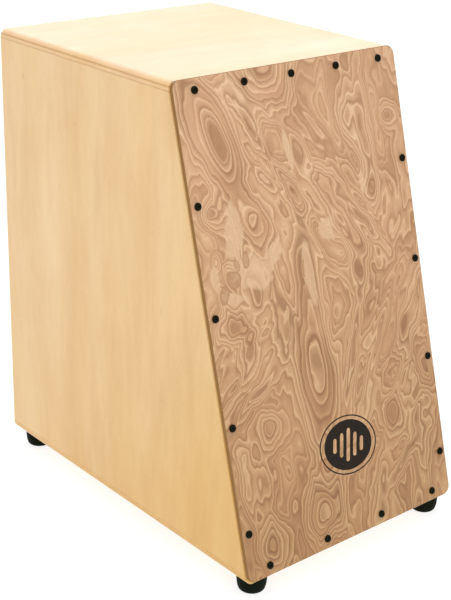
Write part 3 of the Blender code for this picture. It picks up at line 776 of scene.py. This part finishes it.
def make_back_panel():
    """The thinner panel with the sound port, whose rim is rounded."""
    mesh = box_mesh("back_panel", panel_low, panel_high)
    port_z = port_middle().z

    def drill(bm):
        place = Matrix.Translation((0, BACK_Y, port_z)) @ Matrix.Rotation(math.pi / 2, 4, "X")
        size = {"radius1": PORT_RADIUS, "radius2": PORT_RADIUS, "depth": BOARD * 3}
        bmesh.ops.create_cone(bm, cap_ends=True, segments=PORT_SIDES, matrix=place, **size)
    mesh = carve(mesh, mesh_from("drill", drill))
    middle = Vector((0, 0, port_z))

    def on_rim(edge):
        radii = [((corner.co - middle) * Vector((1, 0, 1))).length for corner in edge.verts]
        flat = abs(edge.verts[0].co.y - edge.verts[1].co.y) < GAP
        return flat and all(abs(radius - PORT_RADIUS) < GAP for radius in radii)
    round_edges(mesh, on_rim, PORT_ROUND, 4)
    material = plywood("back_plywood", "Y", BACK_Y, -1, "Z", thickness=panel_high.y - panel_low.y)
    ease_edges(finished("back_panel", mesh, material), PANEL_EASE)


def port_middle():
    """Middle of the sound port, from the record's opening."""
    for opening in frame["record"]["physics"]["openings"]:
        if opening["name"] == "sound_port":
            low, high = opening["box_m"]
            return (Vector(low) + Vector(high)) / 2


# ---- playing face

def make_tapa():
    """The figured front plate, with rounded corners and softly eased edges."""
    centre_x = tapa_high.x - TAPA_CORNER
    upper, lower = tapa_high.y - TAPA_CORNER, tapa_low.y + TAPA_CORNER
    outline = arc((centre_x, lower), TAPA_CORNER, -90, 90)
    outline += arc((centre_x, upper), TAPA_CORNER, 0, 90)
    outline += arc((-centre_x, upper), TAPA_CORNER, 90, 90)
    outline += arc((-centre_x, lower), TAPA_CORNER, 180, 90)
    mesh = prism_mesh("tapa", outline, tapa_low.z, tapa_high.z)
    ease_edges(finished("tapa", mesh, figured_veneer(), FACE), TAPA_EASE, 4)


# Emblem: place down the face and across it, half axes of its rim, and its tilt in degrees
EMBLEM_DOWN = 0.3995
EMBLEM_ACROSS = 0.0070
EMBLEM_HALF_WIDTH = 0.0405
EMBLEM_HALF_HEIGHT = 0.0315
EMBLEM_TILT = -11.0
EMBLEM_LIFT = 0.00002
EMBLEM_THICKNESS = 0.00012
# Shares of the rim's half axes: the disc, the hole in the rim, the bars' pitch, half width and half heights
EMBLEM_DISC = (0.835, 0.845)
EMBLEM_HOLE = (0.965, 0.957)
BAR_PITCH = 0.235
BAR_HALF_WIDTH = 0.062
BAR_HALF_HEIGHTS = (0.250, 0.405, 0.560, 0.405, 0.250)


def emblem_oval(name, shares, low, high):
    """A flat oval solid whose half axes are shares of the emblem's."""
    outline = []
    for side in range(EMBLEM_SIDES):
        angle = 2 * math.pi * side / EMBLEM_SIDES
        x = shares[0] * EMBLEM_HALF_WIDTH * math.cos(angle)
        y = shares[1] * EMBLEM_HALF_HEIGHT * math.sin(angle)
        outline.append((x, y))
    return prism_mesh(name, outline, low, high)


def bar_outline(across, half_width, half_height):
    """An upright bar with round ends."""
    points = arc((across, half_height - half_width), half_width, 0, 180, 12)
    points += arc((across, half_width - half_height), half_width, 180, 180, 12)
    return points


def make_emblem():
    """A generic printed mark: a dark oval with five upright bars left bare, inside a thin rim."""
    ink = emblem_ink()
    place = FACE @ Matrix.Translation((EMBLEM_ACROSS, -EMBLEM_DOWN, tapa_high.z + EMBLEM_LIFT))
    place = place @ Matrix.Rotation(math.radians(EMBLEM_TILT), 4, "Z")
    thick = EMBLEM_THICKNESS
    disc = emblem_oval("disc", EMBLEM_DISC, 0, thick)
    for step, share in enumerate(BAR_HALF_HEIGHTS, -2):
        across = step * EMBLEM_HALF_WIDTH * BAR_PITCH
        bar = bar_outline(across, EMBLEM_HALF_WIDTH * BAR_HALF_WIDTH, EMBLEM_HALF_HEIGHT * share)
        disc = carve(disc, prism_mesh("bar", bar, -thick, thick * 2))
    rim = emblem_oval("rim", (1.0, 1.0), 0, thick)
    rim = carve(rim, emblem_oval("hole", EMBLEM_HOLE, -thick, thick * 2))
    for name, mesh in (("emblem_disc", disc), ("emblem_rim", rim)):
        piece = new_object(name, mesh, ink, place)
        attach(piece, "root")


# ---- screws

def screw_profile(size, length):
    """Pan head with a short upright wall, and a plain shank with a point: (radius, height) points."""
    head_radius, head_height, shank_radius = size
    wall = 0.30 * head_height
    profile = [(0, head_height)]
    for step in range(1, CROWN_STEPS + 1):
        angle = math.pi / 2 * step / CROWN_STEPS
        height = wall + (head_height - wall) * math.cos(angle) ** 0.70
        profile.append((head_radius * math.sin(angle) ** 0.85, height))
    profile += [(head_radius, wall * 0.3), (head_radius * 0.965, 0), (shank_radius, 0)]
    profile += [(shank_radius, shank_radius * 2.2 - length), (0, -length)]
    return profile


def screw_mesh(name, size, length):
    """Pan head screw along Z with a cross recess: the underside of the head is at Z 0."""
    head_radius, head_height = size[:2]
    arm, half = head_radius * 0.54, head_radius * 0.115
    outline = [(half, half), (half, arm), (-half, arm), (-half, half), (-arm, half), (-arm, -half),
               (-half, -half), (-half, -arm), (half, -arm), (half, -half), (arm, -half), (arm, half)]

    def build(bm):
        upper = [bm.verts.new((x, y, head_height + arm)) for x, y in outline]
        lower = [bm.verts.new((x * 0.5, y * 0.5, head_height * 0.35)) for x, y in outline]
        bridge(bm, upper, lower)
    turned = turned_mesh(name, screw_profile(size, length), SCREW_SIDES)
    return smooth(carve(turned, mesh_from(f"{name}_recess", build)), 32)


def quarter_spin():
    """A random turn about Z, up to a quarter, for a screw's cross recess."""
    return Matrix.Rotation(random.uniform(0, math.pi / 2), 4, "Z")


def place_screws(nodes, slot, material, size):
    """A detailed screw for each node, along the longest side of its box in the playing face's frame."""
    head_height = size[1]
    meshes = {}
    for node in nodes:
        low, high = face_box(node)
        extent = high - low
        axis = max(range(3), key=lambda index: extent[index])
        length = extent[axis] - head_height
        key = round(length, 4)
        if key not in meshes:
            meshes[key] = screw_mesh(slot, size, length)
        seat = (low + high) / 2
        outwards = head_side(node, axis, seat[axis])
        seat[axis] = (high[axis] if outwards > 0 else low[axis]) - outwards * head_height
        direction = Vector((0, 0, 0))
        direction[axis] = outwards
        turn = direction.to_track_quat("Z", "Y").to_matrix().to_4x4()
        place = FACE @ Matrix.Translation(seat) @ turn @ quarter_spin()
        finished(node, meshes[key].copy(), material, place)


def head_side(node, axis, middle):
    """1 where the screw's wide end is at the high end of the axis, -1 where it is at the low end."""
    points = face_points(node)
    other = (axis + 1) % 3
    spread = {}
    for side in (-1, 1):
        values = [point[other] for point in points if (point[axis] - middle) * side > 0]
        spread[side] = max(values) - min(values)
    return 1 if spread[1] > spread[-1] else -1


def named(start):
    return sorted(name for name in frame["nodes"] if name.startswith(start))


def make_screws(zinc):
    """Every screw but those of the feet."""
    black = black_screw_finish()
    place_screws(named("tapa_screw_"), "black_screws", black, TAPA_SCREW)
    place_screws(named("cleat_screw_"), "black_screws", black, BLOCK_SCREW)
    place_screws(named("bar_screw_"), "black_screws", black, BLOCK_SCREW)
    place_screws(named("snare_screw_"), "plated_steel", zinc, SNARE_SCREW)


# ---- feet

def foot_profile(height, top_radius, bottom_radius, recess):
    """Closed profile: flat top, tapered wall with a shallow swell, rounded sole edge, washer recess."""
    taper = math.degrees(math.atan2(top_radius - bottom_radius, height))
    shoulder = height - FOOT_SHOULDER[1]
    profile = [(FOOT_HOLE_RADIUS, height), (top_radius - FOOT_TOP_EASE, height)]
    profile += [(top_radius - FOOT_SHOULDER[0], shoulder)]
    for step in range(1, 9):
        share = step / 9
        swell = FOOT_SWELL * math.sin(math.pi * share)
        z = shoulder + (FOOT_EDGE_ROUND - height) * share
        profile.append((top_radius + (bottom_radius - top_radius) * (height - z) / height + swell, z))
    centre = (bottom_radius - FOOT_EDGE_ROUND, FOOT_EDGE_ROUND)
    profile += arc(centre, FOOT_EDGE_ROUND, -taper, taper - 90, 10)
    profile += [(FOOT_RECESS_RADIUS + RECESS_EASE, 0), (FOOT_RECESS_RADIUS, RECESS_EASE)]
    profile += [(FOOT_RECESS_RADIUS, recess), (FOOT_HOLE_RADIUS, recess)]
    return profile


def washer_ring(low, high):
    """Closed profile of a washer with eased outer edges."""
    outer = (high.x - low.x) / 2
    upper = [(FOOT_HOLE_RADIUS, high.z), (outer - WASHER_EASE, high.z), (outer, high.z - WASHER_EASE)]
    lower = [(outer, low.z + WASHER_EASE), (outer - WASHER_EASE, low.z), (FOOT_HOLE_RADIUS, low.z)]
    return upper + lower


def make_foot(corner, rubber, zinc):
    """A rubber foot, the steel washer in its recess and the screw through both."""
    low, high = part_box(f"foot_{corner}")
    washer_low, washer_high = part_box(f"foot_washer_{corner}")
    screw_low, screw_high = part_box(f"foot_screw_{corner}")
    middle = (low + high) / 2
    place = Matrix.Translation((middle.x, middle.y, 0))
    profile = foot_profile(high.z, (high.x - low.x) / 2, FOOT_BOTTOM_RADIUS, washer_high.z + GAP)
    finished(f"foot_{corner}", turned_mesh("foot", profile), rubber, place)
    washer = turned_mesh("washer", washer_ring(washer_low, washer_high), WASHER_SIDES)
    finished(f"foot_washer_{corner}", washer, zinc, place)
    head_height = FOOT_SCREW[1]
    screw = screw_mesh("foot_screw", FOOT_SCREW, screw_high.z - screw_low.z - head_height)
    seat = Matrix.Translation((middle.x, middle.y, screw_low.z + head_height))
    down = Matrix.Rotation(math.pi, 4, "X")
    finished(f"foot_screw_{corner}", screw, zinc, seat @ down @ quarter_spin())


def make_feet(zinc):
    """A foot, washer and screw at every corner that has a washer node."""
    rubber = rubber_finish()
    for name in named("foot_washer_"):
        make_foot(name[len("foot_washer_"):], rubber, zinc)


# ---- snare

def coil_points(start, end, coil_radius, pitch, steps):
    """Points of a coil round the line from start to end."""
    along = end - start
    turns = int(along.length / pitch)
    side = along.orthogonal().normalized()
    up = along.normalized().cross(side)
    points = []
    for step in range(turns * steps + 1):
        angle = 2 * math.pi * step / steps
        share = step / (turns * steps)
        points.append(start + along * share + (side * math.cos(angle) + up * math.sin(angle)) * coil_radius)
    return points


def tube(vertices, faces, points, radius, sides):
    """Add a tube with closed ends along the points to the lists."""
    first = len(vertices)
    for index, point in enumerate(points):
        ahead = points[min(index + 1, len(points) - 1)] - points[max(index - 1, 0)]
        ahead.normalize()
        side = ahead.cross(Vector((0.13, 0.97, 0.21))).normalized()
        up = ahead.cross(side)
        for corner in range(sides):
            angle = 2 * math.pi * corner / sides
            vertices.append(point + (side * math.cos(angle) + up * math.sin(angle)) * radius)
    for index in range(len(points) - 1):
        for corner in range(sides):
            here = first + index * sides
            following = (corner + 1) % sides
            faces.append((here + corner, here + following, here + sides + following, here + sides + corner))
    last = first + (len(points) - 1) * sides
    faces.append(tuple(first + corner for corner in reversed(range(sides))))
    faces.append(tuple(last + corner for corner in range(sides)))


def plate_mesh(name, low, high):
    """End plate of a snare set, with rounded corners."""
    plate = box_mesh(name, low, high)

    def upright(edge):
        return abs(edge.verts[0].co.z - edge.verts[1].co.z) > PLATE_THICKNESS / 2
    round_edges(plate, upright, PLATE_CORNER, 5)
    return plate


def wires_mesh(name, low, high):
    """A row of coiled wires from the plate's upper part to the far end of the set."""
    vertices, faces = [], []
    root_y = low.y + PLATE_HEIGHT * 0.70
    root_z = low.z + PLATE_THICKNESS + COIL_RADIUS * 0.6
    spread = high.x - low.x - 2 * WIRE_MARGIN
    for index in range(WIRES):
        x = low.x + WIRE_MARGIN + spread * index / (WIRES - 1)
        start = Vector((x, root_y, root_z))
        end = Vector((x, high.y - COIL_RADIUS, high.z - COIL_RADIUS - WIRE_RADIUS))
        coil = coil_points(start, end, COIL_RADIUS, COIL_PITCH, COIL_STEPS)
        tube(vertices, faces, coil, WIRE_RADIUS, WIRE_SIDES)
    wires = bpy.data.meshes.new(name)
    wires.from_pydata(vertices, [], faces)
    wires.shade_smooth()
    return wires


def make_snare_set(node, steel):
    """Coiled snare wires soldered to a steel end plate."""
    low, high = face_box(node)
    plate_high = Vector((high.x, low.y + PLATE_HEIGHT, low.z + PLATE_THICKNESS))
    plate = new_object(f"{node}_plate", plate_mesh(f"{node}_plate", low, plate_high), steel, FACE)
    ease_edges(plate, PLATE_EASE, 2)
    stand_for(plate, node)
    wires = new_object(f"{node}_wires", wires_mesh(f"{node}_wires", low, high), steel, FACE)
    stand_for(wires, node)


def make_snare():
    """The bar behind the tapa, the cleats that carry it and the two sets of wires."""
    steel = bright_steel("snare_steel", SNARE_STEEL, 0.20, 0.34)
    for node, material in (("snare_bar", bar_wood("bar_hardwood", "X")),
                           ("snare_cleat_left", bar_wood("left_cleat_hardwood", "Y")),
                           ("snare_cleat_right", bar_wood("right_cleat_hardwood", "Y"))):
        low, high = face_box(node)
        block = finished(node, box_mesh(node, low, high), material, FACE)
        ease_edges(block, BLOCK_EASE)
    for node in ("snare_set_left", "snare_set_right"):
        make_snare_set(node, steel)


# ---- camera, floor and light

# Lens and sensor in millimetres, angles in degrees, place in metres
CAMERA_LENS = 82.72
CAMERA_SENSOR = 36.0
CAMERA_AZIMUTH = -40.749
CAMERA_ELEVATION = 22.396
CAMERA_ROLL = 1.583
CAMERA_PLACE = (-0.9253, -1.0677, 0.8013)


def make_camera():
    data = bpy.data.cameras.new("camera")
    data.lens = CAMERA_LENS
    data.sensor_width = CAMERA_SENSOR
    data.clip_start = 0.05
    camera = bpy.data.objects.new("camera", data)
    bpy.context.scene.collection.objects.link(camera)
    turn = Matrix.Rotation(math.radians(CAMERA_AZIMUTH), 4, "Z")
    tilt = Matrix.Rotation(math.radians(90 - CAMERA_ELEVATION), 4, "X")
    roll = Matrix.Rotation(math.radians(CAMERA_ROLL), 4, "Z")
    camera.matrix_world = Matrix.Translation(CAMERA_PLACE) @ turn @ tilt @ roll
    bpy.context.scene.camera = camera


WHITE = (1.0, 1.0, 1.0, 1.0)
FLOOR_RADIUS = 9.0
FLOOR_GREYS = ((0.30, 0.30, 0.30), (0.33, 0.33, 0.33))
FLOOR_GLOW = 0.80
WORLD_STRENGTH = 0.735
# Each light: its name, place, aim, size and power
LIGHTS = (
    ("overhead", (0.1, 0.2, 1.9), (0, 0, 0.3), (1.6, 1.6), 9.0),
    ("front_left", (-0.75, -1.15, 1.25), (0, -0.05, 0.50), (0.7, 0.7), 4.4),
    ("behind", (1.4, 2.2, 1.7), (0, 0, 0.45), (2.6, 1.6), 22.0),
)


def add_light(name, place, aim, size, power):
    data = bpy.data.lights.new(name, "AREA")
    data.shape = "RECTANGLE"
    data.size, data.size_y = size
    data.energy = power
    light = bpy.data.objects.new(name, data)
    bpy.context.scene.collection.objects.link(light)
    light.location = place
    light.rotation_euler = (Vector(aim) - Vector(place)).to_track_quat("-Z", "Y").to_euler()


def make_floor():
    """A wide white floor that glows a little, so that it stays white under soft light."""
    def build(bm):
        bmesh.ops.create_circle(bm, cap_ends=True, segments=96, radius=FLOOR_RADIUS)
    paint = Paint("floor_white")
    haze = paint.ramp(paint.noise(paint.place(), 3.0), [(0.3, FLOOR_GREYS[0]), (0.7, FLOOR_GREYS[1])])
    material = paint.finish(haze, 0.9, specular=0.0)
    paint.shader.inputs["Emission Color"].default_value = WHITE
    paint.shader.inputs["Emission Strength"].default_value = FLOOR_GLOW
    new_object("floor", mesh_from("floor", build), material)


def make_studio():
    """A white floor and a white room, with large soft lights overhead, in front and behind."""
    make_floor()
    world = bpy.data.worlds.new("studio")
    world.use_nodes = True
    background = world.node_tree.nodes["Background"]
    background.inputs["Color"].default_value = WHITE
    background.inputs["Strength"].default_value = WORLD_STRENGTH
    bpy.context.scene.world = world
    bpy.context.scene.view_settings.view_transform = "Standard"
    for light in LIGHTS:
        add_light(*light)


make_camera()
make_studio()
make_box()
make_back_panel()
make_tapa()
make_emblem()
zinc = bright_steel("zinc_plate", ZINC, 0.26, 0.40)
make_screws(zinc)
make_feet(zinc)
make_snare()
